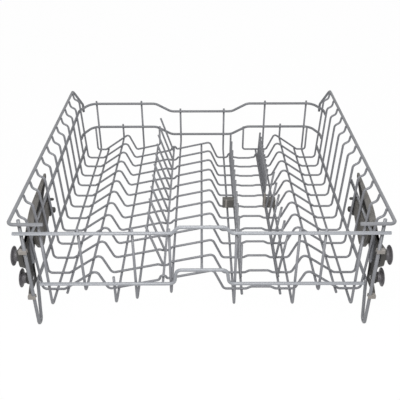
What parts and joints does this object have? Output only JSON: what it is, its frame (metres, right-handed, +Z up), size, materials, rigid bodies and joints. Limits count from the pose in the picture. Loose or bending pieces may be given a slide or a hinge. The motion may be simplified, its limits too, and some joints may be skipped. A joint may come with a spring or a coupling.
{
  "type": "dishwasher basket",
  "caption": "Upper dishwasher basket of coated wire with a waved floor, folding tine rows, rear feet and mushroom rollers on a moulded carrier at each side.",
  "frame": {"origin": "middle of the basket's outline on the level of its rear feet", "axes": "+X to the right seen from the rear, +Y from the rear wall to the front wall, +Z up"},
  "size_m": [0.544, 0.5083, 0.1945],
  "materials": {
    "coated_wire": "satin",
    "carrier_plastic": "matte",
    "roller_plastic": "matte",
    "clip_plastic": "matte",
    "holder_plastic": "matte",
    "axle_steel": "brushed"
  },
  "bodies": {
    "basket": {"cross_wire_01": "coated_wire", "cross_wire_02": "coated_wire", "cross_wire_03": "coated_wire", "cross_wire_04": "coated_wire", "cross_wire_05": "coated_wire", "cross_wire_06": "coated_wire", "cross_wire_07": "coated_wire", "cross_wire_08": "coated_wire", "cross_wire_09": "coated_wire", "cross_wire_10": "coated_wire", "cross_wire_11": "coated_wire", "cross_wire_12": "coated_wire", "floor_wire_01": "coated_wire", "floor_wire_02": "coated_wire", "floor_wire_03": "coated_wire", "floor_wire_04": "coated_wire", "floor_wire_05": "coated_wire", "floor_wire_06": "coated_wire", "floor_wire_07": "coated_wire", "floor_wire_08": "coated_wire", "floor_wire_09": "coated_wire", "floor_wire_10": "coated_wire", "floor_wire_11": "coated_wire", "floor_wire_12": "coated_wire", "floor_wire_13": "coated_wire", "floor_wire_14": "coated_wire", "front_lower_wire": "coated_wire", "front_upper_wire": "coated_wire", "left_carrier_clamp": "carrier_plastic", "left_leg_clips": "clip_plastic", "left_leg_wire": "coated_wire", "left_rim_wire": "coated_wire", "left_roller_axles": "axle_steel", "left_roller_carrier": "carrier_plastic", "rear_lower_wire": "coated_wire", "rear_upper_wire": "coated_wire", "right_carrier_clamp": "carrier_plastic", "right_leg_clips": "clip_plastic", "right_leg_wire": "coated_wire", "right_rim_wire": "coated_wire", "right_roller_axles": "axle_steel", "right_roller_carrier": "carrier_plastic", "right_side_wire": "coated_wire", "short_cross_wire_left": "coated_wire", "short_cross_wire_right": "coated_wire", "tine_holder_middle": "holder_plastic", "tine_holder_right": "holder_plastic"},
    "left_upper_roller": {"left_upper_roller": "roller_plastic"},
    "left_lower_roller": {"left_lower_roller": "roller_plastic"},
    "right_upper_roller": {"right_upper_roller": "roller_plastic"},
    "right_lower_roller": {"right_lower_roller": "roller_plastic"},
    "left_tines": {"tine_row_left": "coated_wire"},
    "middle_tines": {"tine_row_middle": "coated_wire"},
    "right_front_tines": {"tine_row_right_front": "coated_wire"},
    "right_rear_tines": {"tine_row_right_rear": "coated_wire"}
  },
  "joints": [
    {"name": "left_upper_roller_turn", "type": "hinge", "parent": "basket", "child": "left_upper_roller", "pos_m": [-0.268, -0.22781, 0.1195], "axis": [1, 0, 0], "continuous": true},
    {"name": "left_lower_roller_turn", "type": "hinge", "parent": "basket", "child": "left_lower_roller", "pos_m": [-0.268, -0.21581, 0.0685], "axis": [1, 0, 0], "continuous": true},
    {"name": "right_upper_roller_turn", "type": "hinge", "parent": "basket", "child": "right_upper_roller", "pos_m": [0.268, -0.22781, 0.1195], "axis": [1, 0, 0], "continuous": true},
    {"name": "right_lower_roller_turn", "type": "hinge", "parent": "basket", "child": "right_lower_roller", "pos_m": [0.268, -0.21581, 0.0685], "axis": [1, 0, 0], "continuous": true},
    {"name": "left_tines_fold", "type": "hinge", "parent": "basket", "child": "left_tines", "pos_m": [-0.05801, 0, 0.06527], "axis": [0, -1, 0], "range_deg": [0, 60]},
    {"name": "middle_tines_fold", "type": "hinge", "parent": "basket", "child": "middle_tines", "pos_m": [0.06058, 0, 0.05042], "axis": [0, -1, 0], "range_deg": [0, 75]},
    {"name": "right_front_tines_fold", "type": "hinge", "parent": "basket", "child": "right_front_tines", "pos_m": [0.11869, 0, 0.05042], "axis": [0, 1, 0], "range_deg": [0, 46]},
    {"name": "right_rear_tines_fold", "type": "hinge", "parent": "basket", "child": "right_rear_tines", "pos_m": [0.11869, 0, 0.05042], "axis": [0, 1, 0], "range_deg": [-18.5, 41.5]}
  ]
}
